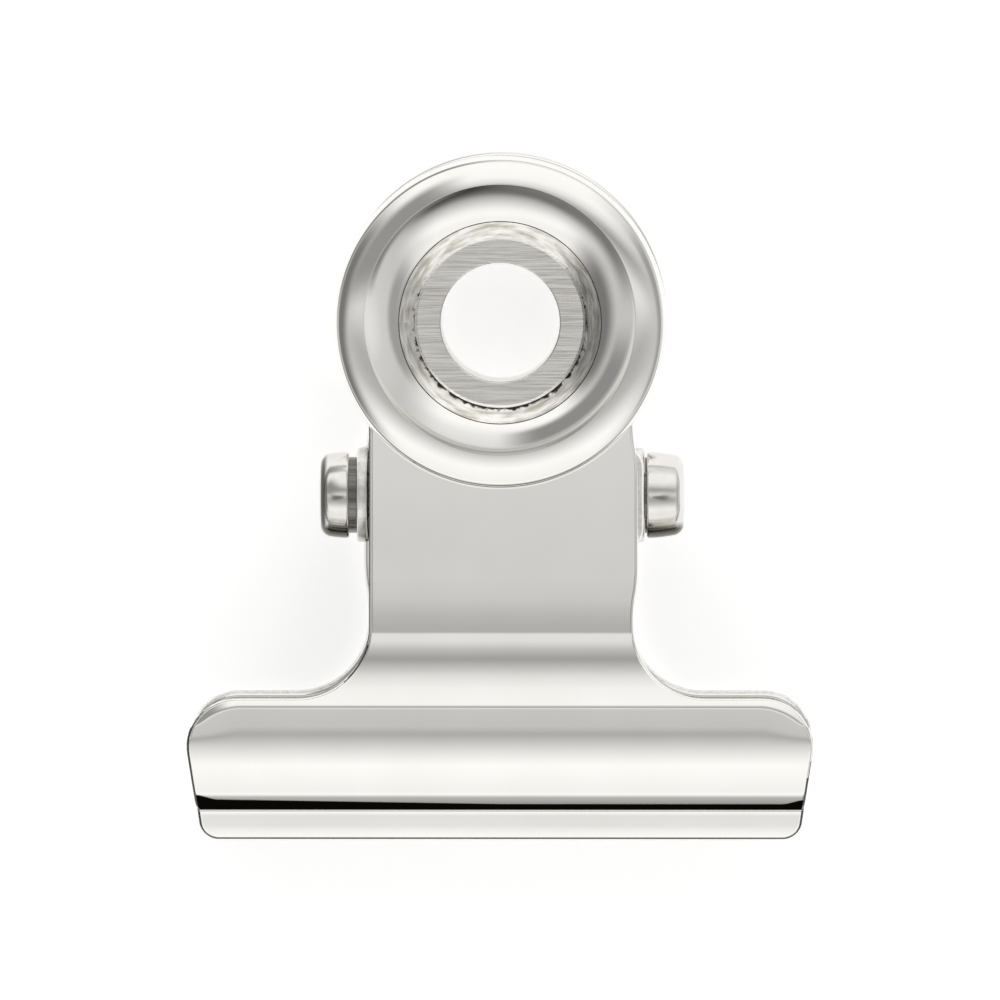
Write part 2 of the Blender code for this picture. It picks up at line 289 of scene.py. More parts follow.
def foldShadeMask(tree, place):
    # painted shade: 1 in the strip of the fold, whose upper border climbs to the left and at the ends of
    # the jaw
    s = silverPlate
    run, rise = s["foldRise"]
    endStart, endFull, endRise = s["foldEnd"]
    softTop, softBottom = s["foldSoft"]
    parts = addNode(tree, "SeparateXYZ", {"Vector": place})
    leftward = addNode(tree, "MapRange", {"Value": parts.outputs["X"], "From Max": -run * mm,
                                          "To Max": rise * mm})
    outward = addNode(tree, "Math", {0: parts.outputs["X"]}, operation="ABSOLUTE")
    ends = addNode(tree, "MapRange", {"Value": outward, "From Min": endStart * mm,
                                      "From Max": endFull * mm, "To Max": endRise * mm},
                   interpolation_type="SMOOTHSTEP")
    climb = addNode(tree, "Math", {0: leftward, 1: ends}, operation="ADD")
    level = addNode(tree, "Math", {0: parts.outputs["Y"], 1: climb}, operation="SUBTRACT")
    top = pinCentre.y - s["foldTop"] * mm
    bottom = pinCentre.y - s["foldBottom"] * mm
    under = addNode(tree, "MapRange", {"Value": level, "From Min": top + softTop * mm,
                                       "From Max": top - softTop * mm})
    above = addNode(tree, "MapRange", {"Value": parts.outputs["Y"],
                                       "From Min": bottom - softBottom * mm,
                                       "From Max": bottom + softBottom * mm})
    return addNode(tree, "Math", {0: under, 1: above}, operation="MULTIPLY")


brushedRing = {
    "pale": "#F8F6F2",
    "dull": "#CDC9C2",
    "tones": (0.3, 0.62),
    "roughness": 0.2,
    "line": 0.07,           # mm, width of a brush scratch
    "lineLength": 2.6,      # mm
}


def makeBrushedRing():
    # the coined flat round the hole, wire brushed along x: straight light and dark scratches
    # that scatter the light, so it stays an even grey beside the polish
    s = brushedRing
    metal, tree, shader, place = newMetal("coined flat, wire brushed", s["roughness"])
    stretch = addNode(tree, "Mapping", {"Vector": place,
                                        "Scale": (s["line"] / s["lineLength"], 1.0, 1.0)})
    scratches, colour = twoTone(tree, stretch, s, s["line"], detail=3.0)
    feed(tree, scratches, {"Roughness": 0.6})
    bump = addNode(tree, "Bump", {"Height": scratches, "Strength": 0.5, "Distance": 0.01 * mm})
    feed(tree, shader, {"Base Color": colour, "Normal": bump})
    return metal


rawChamfer = {
    "pale": "#F4F2ED",
    "dull": "#BFBAB0",
    "tones": (0.34, 0.6),
    "roughness": 0.15,
    "streak": 0.11,         # mm, width of a draw mark
    "streakLength": 1.1,    # mm, along the circle
    # colour of the painted shade in the corner
    "black": "#2E2B27",
    "shadeReach": 0.34,     # mm, how far the painted shade spreads up from the corner
    "shadePatch": 0.3,      # mm
    "shadeShare": (0.1, 0.8),       # how much of it there is away from the jaw and towards it
    "shadeFrom": (0.72, 0.95),      # share and noise together, where a patch starts and is full
}


def makeRawChamfer():
    # the drawn step of the recess, left as pressed: draw marks run round it where the mop did
    # not reach, and break the reflections into short bright and dark streaks, and patches of
    # painted shade darken its corner, most of them towards the jaw
    s = rawChamfer
    metal, tree, shader, place = newMetal("drawn step, left as pressed, painted shade in its corner", s["roughness"])
    ring = disc["ring"] * mm
    centred = addNode(tree, "VectorMath", {0: place,
                                           1: (0.0, pinCentre.y + disc["centre"] * mm, pinCentre.z)},
                      operation="SUBTRACT")
    parts = addNode(tree, "SeparateXYZ", {"Vector": centred})
    angle = addNode(tree, "Math", {0: parts.outputs["Y"], 1: parts.outputs["X"]}, operation="ARCTAN2")
    along = addNode(tree, "Math", {0: angle, 1: ring * s["streak"] / s["streakLength"]},
                    operation="MULTIPLY")
    rounds = addNode(tree, "CombineXYZ", {"X": along, "Z": parts.outputs["Z"]})
    marks, streaks = twoTone(tree, rounds, s, s["streak"], detail=2.0)
    bump = addNode(tree, "Bump", {"Height": marks, "Strength": 0.6, "Distance": 0.02 * mm})
    level = addNode(tree, "VectorMath", {0: centred, 1: (1.0, 1.0, 0.0)}, operation="MULTIPLY")
    radius = addNode(tree, "VectorMath", {0: level}, operation="LENGTH")
    corner = addNode(tree, "MapRange", {"Value": radius, "From Min": ring + s["shadeReach"] * mm,
                                        "From Max": ring})
    least, most = s["shadeShare"]
    jawward = addNode(tree, "MapRange", {"Value": parts.outputs["Y"], "From Min": ring,
                                         "From Max": -ring, "To Min": least, "To Max": most})
    patches = addNode(tree, "TexNoise", {"Vector": place, "Scale": perMm(s["shadePatch"]),
                                         "Detail": 2.0})
    amount = addNode(tree, "Math", {0: corner, 1: jawward, 2: patches}, operation="MULTIPLY_ADD")
    black = addNode(tree, "MapRange", {"Value": amount, "From Min": s["shadeFrom"][0],
                                       "From Max": s["shadeFrom"][1]})
    colour = addNode(tree, "Mix", {"Factor": black, 6: streaks, 7: hexColour(s["black"])},
                     data_type="RGBA")
    feed(tree, shader, {"Base Color": colour, "Normal": bump})
    return metal


satinEar = {"pale": "#F7F6F3", "dull": "#E6E3DD", "tones": (0.3, 0.6), "roughness": 0.36, "grain": 0.2}


def makeSatinEar():
    # ears of the same sheet, bent after polishing: the bend roughens the skin to a fine satin,
    # which takes light from all round
    s = satinEar
    metal, tree, shader, place = newMetal("silver plated sheet, satin at the bend", s["roughness"])
    feed(tree, shader, {"Base Color": twoTone(tree, place, s, s["grain"], detail=3.0)[1]})
    return metal


# dark colours of the painted shade on the sheet's edges
shadedEdge = {"pale": "#6B6862", "dull": "#3E3C38", "tones": (0.35, 0.65), "roughness": 0.42,
               "grain": 0.08}


def makeShadedEdge():
    # cut edge of the sheet, dull and dark: painted shade for an outline on the edges that face left and
    # down
    s = shadedEdge
    metal, tree, shader, place = newMetal("sheet edge, dull, painted shade", s["roughness"])
    feed(tree, shader, {"Base Color": twoTone(tree, place, s, s["grain"], detail=2.0)[1]})
    return metal


turnedCap = {
    "pale": "#EFEDE9",
    "dull": "#DEDBD6",
    "roughness": (0.13, 0.19),
    "toolMark": 0.05,       # mm, pitch of the lathe marks
    "waveScale": 20,        # the wave node itself multiplies by this
    "patch": 0.6,           # mm, cloudy patches
    # colour of the painted shade, darker below and round the left edge
    "capShade": "#57534C",
    # mm from the pin's middle, where the painted shade starts and is full: towards the jaw, out along
    # the pin on the left, and away from the axis, so that the end of the cap stays bright
    "shadeLow": (-1.3, -1.65),
    "shadeOut": (-8.84, -9.02),
    "shadeRim": (1.55, 1.75),
}


def makeTurnedCap():
    # nickel-plated brass cap, turned and polished: bright, with fine rings round its own axis,
    # and painted shade on the side towards the jaw and round the left one's edge
    s = turnedCap
    metal, tree, shader, place = newMetal("nickel plated cap, turned", s["roughness"][0])
    centred = addNode(tree, "Mapping", {"Vector": place, "Location": -pinCentre})
    rings = addNode(tree, "TexWave", {"Vector": centred, "Scale": perMm(s["toolMark"]) / s["waveScale"],
                                      "Distortion": 0.4, "Detail": 1.0},
                    wave_type="RINGS", rings_direction="X")
    rough = addNode(tree, "MapRange", {"Value": rings.outputs["Fac"], "To Min": s["roughness"][0],
                                       "To Max": s["roughness"][1]})
    cloud = addNode(tree, "TexNoise", {"Vector": place, "Scale": perMm(s["patch"]), "Detail": 2.0})
    plate = addNode(tree, "Mix", {"Factor": cloud, 6: hexColour(s["pale"]), 7: hexColour(s["dull"])},
                    data_type="RGBA")
    parts = addNode(tree, "SeparateXYZ", {"Vector": centred})
    section = addNode(tree, "VectorMath", {0: centred, 1: (0.0, 1.0, 1.0)}, operation="MULTIPLY")
    radius = addNode(tree, "VectorMath", {0: section}, operation="LENGTH")
    spread = []
    for measure, (start, full) in ((parts.outputs["Y"], s["shadeLow"]),
                                   (parts.outputs["X"], s["shadeOut"]), (radius, s["shadeRim"])):
        spread.append(addNode(tree, "MapRange", {"Value": measure, "From Min": start * mm,
                                                 "From Max": full * mm}))
    low, out, rim = spread
    edge = addNode(tree, "Math", {0: out, 1: rim}, operation="MULTIPLY")
    where = addNode(tree, "Math", {0: low, 1: edge}, operation="MAXIMUM")
    colour = addNode(tree, "Mix", {"Factor": where, 6: plate, 7: hexColour(s["capShade"])},
                     data_type="RGBA")
    feed(tree, shader, {"Base Color": colour, "Roughness": rough})
    return metal


drawnPin = {"pale": "#8F8E8B", "dull": "#5F5E5B", "tones": (0.35, 0.65), "roughness": 0.24,
            "line": 0.05, "lineLength": 3.0}


def makeDrawnPin():
    # bright drawn steel bar: draw lines along x and a satin gleam
    s = drawnPin
    metal, tree, shader, place = newMetal("drawn steel bar", s["roughness"])
    stretch = addNode(tree, "Mapping", {"Vector": place,
                                        "Scale": (s["line"] / s["lineLength"], 1.0, 1.0)})
    feed(tree, shader, {"Base Color": twoTone(tree, stretch, s, s["line"], detail=2.0)[1]})
    return metal


springSteel = {"pale": "#9C9C9B", "dull": "#6E6E6E", "tones": (0.35, 0.65), "roughness": (0.22, 0.38),
               "mottle": 0.3}


def makeSpringSteel():
    # oil-tempered spring wire: grey, with a slightly mottled gleam
    s = springSteel
    metal, tree, shader, place = newMetal("spring steel wire", s["roughness"][0])
    mottle, colour = twoTone(tree, place, s, s["mottle"], detail=3.0)
    rough = addNode(tree, "MapRange", {"Value": mottle, "To Min": s["roughness"][0],
                                       "To Max": s["roughness"][1]})
    feed(tree, shader, {"Base Color": colour, "Roughness": rough})
    return metal


# leaf: a punched blank is bent to the jaw's section, then gets its disc and ears

sheetZone, ringZone, stepZone, shadedEdgeZone, earZone = range(5)     # the leaf's metals, in makeLeaf's order

leafSheet = {
    "thickness": 0.55,
    "neckFront": 4.0,           # front of the neck, from the pin axis
    "edgeRound": 0.2,           # rounding of the sheet's edges, front and back
    "backRound": 0.33,
    "roundSteps": 4,
    # the front from the disc to the curl: distance below the pin axis, lean of the face there
    "neckTop": (-9.0, 1.2),
    "stations": ((2.44, 0.2), (4.08, 0.2), (5.2, -0.4), (6.03, -1.9), (6.82, -3.2), (6.96, 2.6),
                 (7.2, 3.4), (9.7, 19.0), (10.5, 20.0), (10.74, -0.4), (11.62, -0.8), (11.88, -2.2),
                 (12.08, -5.0), (12.24, -7.7), (13.6, -16.5), (15.05, -26.2), (15.3, -35.5),
                 (15.62, -37.0)),
    "arcStep": 0.6,             # degrees
    "curl": (0.65, 3.0),        # turn down to the fold: radius, degrees per step
    "fold": (0.25, 5.0),        # fold between ledge and lip: the same
    "ledge": (-85, 20),         # first guess at the lean between them, and rounds to fit it
    # the lip, from the fold to its bottom edge
    "lip": ((16.24, -15.0), (16.4, -12.0), (16.9, -12.3), (17.45, -16.5), (17.66, -16.5)),
    "lipGap": 0.3,              # between the tips of the two lips
    "lipBottom": 17.66,
}

leafBlank = {
    "wingTop": -10.16,
    "shoulderHalf": 16.41,      # half width at the wing tops, before the corners are rounded
    "lipHalf": 15.3,
    "wingRound": 3.0,
    "coveRound": 3.65,
    "lipRound": 0.85,
    "innerEdge": -6.69,         # straight edge of the neck, above the inner ear
    # the other edge swells beside the outer ear: distance up the neck, half width
    "outerEdge": ((-5.6, 6.84), (-4.2, 7.08), (1.7, 7.08), (3.2, 6.82)),
    "swellRound": 0.6,
    "top": 7.0,
    "cornerSteps": 16,
}

# edges of the sheet with painted shade, dull and dark: a face of the edge counts as turned aside or down
# past "turn"
edgeShade = {
    "turn": 0.35,
    "notUp": 0.6,               # and the left edge is dull until it faces up this far
    "sideWidth": 0.88,          # share of the edge's rounding that is dull
    "downWidth": 0.95,
    "neckWidth": 0.82,          # thinner on the left above this height
    "neckFrom": -7.5,
    "rightFade": (-11.5, -14.5),    # on the right it comes in between these heights
    # the rear leaf keeps the painted shade only on edges facing down, and the tops of its wings took less
    # of the polish
    "rearDown": -0.5,
    "rearUp": 0.4,
    "rearTops": (-13.0, -6.5),
}

# the fold below the wing tops turns down with their corners
wingFold = {
    "centre": (13.1, -13.9),
    "fade": (-12.7, -11.3),     # the turn comes back to the straight section between these heights
    "rows": (-12.8, -10.72, 0.04),
    "columns": (13.4, 16.3, 0.07),
    "nudge": 0.01,              # step to each side for the slope
}

disc = {
    "centre": 8.95,
    "hole": 3.05,
    "ring": 4.3,
    "holeBack": 3.32,           # the punch breaks out wider at the back
    "corner": 5.15,             # outer end of the chamfer; from here to the dish a strip gets the edges' painted shade
    "recess": 5.2,
    "ridge": 6.94,
    "ringDepth": 1.75,
    "dishLean": (28, 46),
    "ridgeRound": 0.02,
    "ridgeShift": 0.18,         # the die sat this far off centre, towards the top
    "shiftReach": 1.218,        # and this far past the ridge the rim is true again
    "shoulder": (4.06, -11, -30),   # radius, lean at the ridge and at the roll
    "roll": (0.672, -88),
    "bendSteps": (1.0, 4.0, 1.0, 3.0),      # degrees per step: dish, ridge, shoulder, roll
    "skirt": 0.23,
    "soft": 0.06,               # softening of the corners of the flat round the hole
    "softMiddle": (0.3, 0.45),  # halfway point of the one at the hole, as shares of it
    "softRise": 1.2,            # and where the chamfer starts
    "foot": 0.6,                # rise of the strip between chamfer and dish, per mm
    "tipRound": 0.4,            # the edge of the skirt, in sheet thicknesses
    "tipSteps": 8,
    "neckCut": 8.1,             # the neck stops here, inside the wall of the rim
    "steps": 192,
    "smooth": 28,               # degrees
    # faces that look to the front further than this: flat and chamfer, strip behind them
    "frontFacing": (0.5, 0.3),
}

ears = {
    "radius": 2.4,
    "innerFace": 6.66,
    "outerFace": 7.35,
    "bottomRound": 0.999,   # share of the radius, so that the bottom's two rounds don't quite meet
    "bottomSteps": 20,
    "hole": 1.2,
    "holeSteps": 64,
    "edgeRound": 0.16,
    "roundSteps": 4,
    "rollSteps": 12,
    "sink": 0.09,           # the roll passes this far under the front of the neck
    "tongue": 0.3,          # and runs on under it
    "fullness": 4.0,        # 2 is a round roll, more is squarer
    "runOut": 0.36,         # how far the roll narrows at its ends
    "runOutFrom": 2.2,      # height where that starts
    "runOutSides": (1.5, 2.4, 5),   # start and end to each side of the pin, and rows between
    "smooth": 35,           # degrees
}


def bendOn(path, radius, lean, step):
    # carries a section round an arc until its face has this lean
    across, height, start = path[-1]
    end = math.radians(lean)
    signed = math.copysign(radius, end - start)
    count = max(2, math.ceil(abs(end - start) / math.radians(step)))
    for index in range(1, count + 1):
        now = start + (end - start) * index / count
        path.append((across - signed * (math.sin(now) - math.sin(start)),
                     height - signed * (math.cos(now) - math.cos(start)), now))


def runOn(path, length):
    across, height, lean = path[-1]
    path.append((across - length * math.cos(lean), height + length * math.sin(lean), lean))


def reach(path, below, lean):
    # straight or arc that comes to this distance below the pin with this lean
    across, height, start = path[-1]
    turn = math.sin(math.radians(lean)) - math.sin(start)
    if abs(turn) < 1e-6:
        runOn(path, (across + below) / math.cos(start))
    else:
        bendOn(path, (across + below) / abs(turn), lean, leafSheet["arcStep"])


def jawSection():
    # front of the leaf from the neck to the tip of the lip: (y, z, lean)
    s = leafSheet
    below, lean = s["neckTop"]
    path = [(-below, 0.0, math.radians(lean))]
    for below, lean in s["stations"]:
        reach(path, below, lean)
    atPin = min(path, key=lambda point: abs(point[0]))[1]
    path = [(y, z + s["neckFront"] - atPin, angle) for y, z, angle in path]
    # the lip is drawn up from its tip, so that the two lips keep their gap
    below, lean = s["lip"][0]
    lip = [(-below, 0.0, math.radians(lean))]
    for below, lean in s["lip"][1:]:
        reach(lip, below, lean)
    lift = s["lipGap"] / 2 + s["thickness"] * math.cos(lip[-1][2]) - lip[-1][1]
    lip = [(y, z + lift, angle) for y, z, angle in lip]
    # the ledge joins the two with the lean that fits both turns
    (curl, curlStep), (foldRound, foldStep), (guess, rounds) = s["curl"], s["fold"], s["ledge"]
    ledge = math.radians(guess)
    for attempt in range(rounds):
        trial = [path[-1]]
        bendOn(trial, curl, math.degrees(ledge), curlStep)
        fold = [(0.0, 0.0, ledge)]
        bendOn(fold, foldRound, math.degrees(lip[0][2]), foldStep)
        drop = trial[-1][1] - (lip[0][1] - fold[-1][1])
        out = trial[-1][0] - (lip[0][0] - fold[-1][0])
        ledge = -math.atan2(drop, out)
    path += trial[1:]
    runOn(path, math.hypot(drop, out))
    bendOn(path, foldRound, math.degrees(lip[0][2]), foldStep)
    return path + lip[1:]


def sectionAt(path, y):
    # height and lean of the section at one y
    for (y0, z0, lean0), (y1, z1, lean1) in zip(path, path[1:]):
        if y >= y1:
            break
    share = clamp((y0 - y) / (y0 - y1)) if y0 > y1 else 0.0
    return z0 + (z1 - z0) * share, lean0 + (lean1 - lean0) * share


def roundCorners(piece, corners, radius):
    pickVerts(piece, lambda co: any(near(co.x, x) and near(co.y, y) for x, y in corners))
    bpy.ops.mesh.bevel(affect="VERTICES", offset=radius, segments=leafBlank["cornerSteps"],
                       profile=0.5, clamp_overlap=False)


def punchBlank():
    # flat sheet with the outline of neck and jaw, seen from the front
    s = leafBlank
    bottom = -leafSheet["lipBottom"]
    half, top = s["shoulderHalf"], s["wingTop"]
    blank = layFlat("leafBlank", 2 * half, top - bottom, 0, (top + bottom) / 2)
    pickVerts(blank, lambda co: near(co.y, bottom))
    bpy.ops.transform.resize(value=(s["lipHalf"] / half, 1.0, 1.0), center_override=(0, bottom, 0))
    waist = s["outerEdge"][0][1]
    for x in (s["innerEdge"], waist):
        cutRow((x, 0, 0), (1, 0, 0))
    # the neck grows out of the jaw in steps, whose right-hand points then move to the edge
    pickEdges(blank, lambda a, b: near(a.y, top) and near(b.y, top)
              and abs(a.x) < half / 2 and abs(b.x) < half / 2)
    level, edge = top, waist
    for y, x in s["outerEdge"] + ((s["top"], s["outerEdge"][-1][1]),):
        extrudeBy(0, y - level, 0)
        pickVerts(blank, lambda co: near(co.y, y) and near(co.x, edge))
        bpy.ops.transform.translate(value=(x - edge, 0, 0))
        pickEdges(blank, lambda a, b: near(a.y, y) and near(b.y, y) and not near(a.x, b.x))
        level, edge = y, x
    pickAll("FACE")
    bpy.ops.mesh.dissolve_faces()
    roundCorners(blank, [(s["innerEdge"], top), (waist, top)], s["coveRound"])
    roundCorners(blank, [(half, top), (-half, top)], s["wingRound"])
    roundCorners(blank, [(s["lipHalf"], bottom), (-s["lipHalf"], bottom)], s["lipRound"])
    roundCorners(blank, [(x, y) for y, x in s["outerEdge"]], s["swellRound"])
    pickAll("FACE")
    extrudeBy(0, 0, -leafSheet["thickness"])
    pickAll()
    bpy.ops.mesh.normals_make_consistent(inside=False)
    deselectAll()
    # the end under the disc is cut to the disc's own circle
    bpy.ops.mesh.primitive_cylinder_add(vertices=disc["steps"], radius=disc["neckCut"],
                                        depth=cutterHeight, location=(0, disc["centre"], 0))
    cutWith(blank, bpy.context.object)
    editPiece(blank)
    roundOutline(blank, 0.0, leafSheet["edgeRound"])
    roundOutline(blank, -leafSheet["thickness"], leafSheet["backRound"])
    deselectAll()
    return blank


def roundOutline(blank, level, width):
    # rolls over the sharp edge all round one side of the sheet
    pick(blank, "EDGE", lambda edge: edge.calc_face_angle(0.0) > sharpEdge
         and all(near(vert.co.z, level) for vert in edge.verts))
    bpy.ops.mesh.bevel(offset=width, segments=leafSheet["roundSteps"], profile=0.5, clamp_overlap=False)


def flatNormals(blank):
    # exact normals of the flat blank: its faces flat, its edges quarter rounds
    front, back, thickness = leafSheet["edgeRound"], leafSheet["backRound"], leafSheet["thickness"]
    cage = bmesh.new()
    cage.from_mesh(blank.data)
    cage.normal_update()
    normals = []
    for vert in cage.verts:
        h = vert.co.z
        rise = 0.0
        if h > -front:
            rise = min((h + front) / front, 1.0)
        elif h < back - thickness:
            rise = -min((back - thickness - h) / back, 1.0)
        outward = Vector((vert.normal.x, vert.normal.y, 0.0))
        side = outward.normalized() if outward.length > 1e-6 else Vector()
        normal = side * math.sqrt(max(0.0, 1.0 - rise * rise)) + Vector((0, 0, rise))
        normals.append(normal.normalized() if normal.length > 0 else vert.normal.copy())
    cage.free()
    return normals


def foldedY(x, y):
    # height at which a point reads the section: round the wing corners it follows the outline
    (middle, level), (low, high) = wingFold["centre"], wingFold["fade"]
    out = abs(x) - middle
    if out <= 0 or y <= low:
        return y
    share = min((y - low) / (high - low), 1.0)
    share *= share * (3 - 2 * share)
    return y + (level + math.hypot(out, y - level) - y) * share


def gridCorners(blank):
    # finer rows and columns where the fold turns
    start, end, step = wingFold["rows"]
    for index in range(round((end - start) / step) + 1):
        cutRow((0, start + index * step, 0), (0, 1, 0))
    start, end, step = wingFold["columns"]
    for side in (-1, 1):
        for index in range(round((end - start) / step)):
            pickFaces(blank, lambda co, normal: co.y > wingFold["rows"][0]
                      and (index == 0 or side * co.x > start))
            cutPicked((side * (start + index * step), 0, 0), (1, 0, 0))


def pressLeaf(blank):
    # rows across the blank at every station of the section, then each point goes to the section
    path = jawSection()
    editPiece(blank)
    for y, z, lean in path[1:-1]:
        cutRow((0, y, 0), (0, 1, 0))
    gridCorners(blank)
    deselectAll()
    normals = flatNormals(blank)
    nudge = wingFold["nudge"]
    kept = blank.data.attributes.new("pressedNormal", "FLOAT_VECTOR", "POINT")
    for vert, normal in zip(blank.data.vertices, normals):
        x, y, depth = vert.co
        z, lean = sectionAt(path, foldedY(x, y))
        turn = Vector((foldedY(x + nudge, y) - foldedY(x - nudge, y),
                       foldedY(x, y + nudge) - foldedY(x, y - nudge))).normalized()
        facing = Vector((math.sin(lean) * turn.x, math.sin(lean) * turn.y, math.cos(lean)))
        along = Vector((0.0, math.cos(lean), -math.sin(lean) * turn.y)).normalized()
        across = along.cross(facing).normalized()
        vert.co = Vector((x, y, z)) + facing * depth
        kept.data[vert.index].vector = across * normal.x + along * normal.y + facing * normal.z
    blank.data.update()
    return blank, leafZones(blank, normals)


def leafZones(blank, normals):
    # painted shade on the sheet's edges where they face left or down, thinner beside the neck, and
    # fading in down the jaw's right
    s = edgeShade
    fadeStart, fadeEnd = s["rightFade"]
    zones = []
    for face in blank.data.polygons:
        flat = Vector()
        for index in face.vertices:
            flat += normals[index] / len(face.vertices)
        down = flat.y < -s["turn"]
        left = flat.x < -s["turn"] and flat.y < s["notUp"]
        share = 0.0
        if left and face.center.y > s["neckFrom"]:
            share = s["neckWidth"]
        elif left or down:
            share = 1.0
        elif flat.x > s["turn"]:
            share = clamp((face.center.y - fadeStart) / (fadeEnd - fadeStart))
        width = s["downWidth"] if down else s["sideWidth"]
        zones.append(shadedEdgeZone if abs(flat.z) < width * share else sheetZone)
    return zones


def discProfile(ridgeFront):
    # closed section of the disc, (radius, height), front first
    s = disc
    thickness = leafSheet["thickness"]
    lean0, lean1 = s["dishLean"]
    ringFront = ridgeFront - s["ringDepth"]
    dishOut = s["ridge"] - s["ridgeRound"] * math.sin(math.radians(lean1))
    span = math.sin(math.radians(lean1)) - math.sin(math.radians(lean0))
    dishRadius = (dishOut - s["recess"]) / span
    path = [(-s["recess"], 0.0, math.radians(lean0))]
    shoulder, ridgeLean, shoulderLean = s["shoulder"]
    bends = ((dishRadius, lean1), (s["ridgeRound"], ridgeLean), (shoulder, shoulderLean), s["roll"])
    for (radius, lean), step in zip(bends, s["bendSteps"]):
        bendOn(path, radius, lean, step)
    runOn(path, s["skirt"])
    lift = ridgeFront - max(height for across, height, lean in path)
    outer = [(-across, height + lift, -lean) for across, height, lean in path]
    soft = s["soft"]
    middleOut, middleDown = s["softMiddle"]
    front = [(s["hole"], ringFront - soft),
             (s["hole"] + middleOut * soft, ringFront - middleDown * soft),
             (s["hole"] + soft, ringFront), (s["ring"] - soft, ringFront)]
    foot = outer[0][1] - s["foot"] * (s["recess"] - s["corner"])
    front += [(s["ring"] + soft, ringFront + s["softRise"] * soft), (s["corner"], foot)]
    front += [(radius, height) for radius, height, lean in outer]
    back = []
    for radius, height, lean in reversed(outer):
        if radius >= s["ridge"]:
            back.append((radius - thickness * math.sin(lean), height - thickness * math.cos(lean)))
        else:
            back.append((radius, height - thickness))
    tip = Vector((outer[-1][0] + back[0][0], outer[-1][1] + back[0][1])) / 2
    turns = [math.pi * step / s["tipSteps"] for step in range(1, s["tipSteps"])]
    rimEnd = [(tip.x + thickness / 2 * math.cos(turn), tip.y - s["tipRound"] * thickness * math.sin(turn))
              for turn in turns]
    inner = [(s["ring"], ringFront - thickness), (s["holeBack"], ringFront - thickness)]
    return front + rimEnd + back + inner


def spinProfile(name, profile, steps, closed):
    # turns a section of (radius, height) points about z
    count = len(profile)
    mesh = bpy.data.meshes.new(name)
    edges = [(i, (i + 1) % count) for i in range(count if closed else count - 1)]
    mesh.from_pydata([(radius, 0.0, height) for radius, height in profile], edges, [])
    piece = bpy.data.objects.new(name, mesh)
    bpy.context.scene.collection.objects.link(piece)
    editPiece(piece)
    pickAll()
    bpy.ops.mesh.spin(steps=steps, angle=2 * math.pi, center=(0, 0, 0), axis=(0, 0, 1))
    closeUp()
    deselectAll()
    return piece


def spinDisc(ridgeFront):
    plate = spinProfile("disc", discProfile(ridgeFront), disc["steps"], closed=True)
    s = disc
    edge = s["ridge"] + s["shiftReach"]
    for vert in plate.data.vertices:
        radius = math.hypot(vert.co.x, vert.co.y)
        inside = (radius - s["recess"]) / (s["ridge"] - s["recess"])
        outside = (edge - radius) / (edge - s["ridge"])
        vert.co.y += s["ridgeShift"] * max(0.0, min(inside, outside))
    plate.data.transform(Matrix.Translation((0, s["centre"], 0)))
    smoothShade(plate, s["smooth"])
    return plate


def makeEar(side, face):
    # tab from the neck's edge down to the pin, rolled over at the top and round at the bottom
    s = ears
    thickness = leafSheet["thickness"]
    root = leafSheet["neckFront"] - thickness - s["sink"]
    ear = layFlat("ear", root + s["radius"], 2 * s["radius"], (root - s["radius"]) / 2, 0)
    pickVerts(ear, lambda co: co.x < 0)
    bpy.ops.mesh.bevel(affect="VERTICES", offset=s["bottomRound"] * s["radius"],
                       segments=s["bottomSteps"], profile=0.5, clamp_overlap=False)
    pickAll("FACE")
    extrudeBy(0, 0, thickness)
    # the top rolls over towards the neck and runs on under it
    pickFaces(ear, lambda co, normal: near(co.x, root))
    bpy.ops.mesh.spin(steps=s["rollSteps"], angle=math.pi / 2, center=(root, 0, 0), axis=(0, -1, 0))
    extrudeBy(0, 0, -s["tongue"])
    closeUp()
    deselectAll()
    bpy.ops.mesh.primitive_cylinder_add(vertices=s["holeSteps"], radius=s["hole"], depth=cutterHeight)
    cutWith(ear, bpy.context.object)
    applyModifier(ear, "BEVEL", width=s["edgeRound"], segments=s["roundSteps"],
                  limit_method="ANGLE", angle_limit=sharpEdge, use_clamp_overlap=True)
    # rows across it for the roll to run out on
    start, end, count = s["runOutSides"]
    editPiece(ear)
    for row in range(count):
        level = start + (end - start) * row / count
        cutRow((0, -level, 0), (0, 1, 0))
        cutRow((0, level, 0), (0, 1, 0))
    deselectAll()
    # stand it up: its length becomes z, its thickness x
    inward = face - thickness
    upright = Matrix(((0, 0, side, side * inward), (0, side, 0, 0), (1, 0, 0, 0), (0, 0, 0, 1)))
    ear.data.transform(upright)
    if upright.determinant() < 0:
        ear.data.flip_normals()
    power, runOutFrom = s["fullness"], s["runOutFrom"]
    for vert in ear.data.vertices:
        # the roll is squared up
        out, up = side * vert.co.x - inward, vert.co.z - root
        if out > 0 and up > 0:
            fuller = math.hypot(out, up) / (out ** power + up ** power) ** (1 / power)
            vert.co.x = side * (inward + min(out * fuller, thickness))
            vert.co.z = root + min(up * fuller, thickness)
        # and runs out towards both ends
        if vert.co.z > runOutFrom:
            share = clamp((abs(vert.co.y) - start) / (end - start))
            depth = min((vert.co.z - runOutFrom) / (root - runOutFrom), 1.0)
            vert.co.x -= side * s["runOut"] * share * share * depth
    smoothShade(ear, s["smooth"])
    return ear


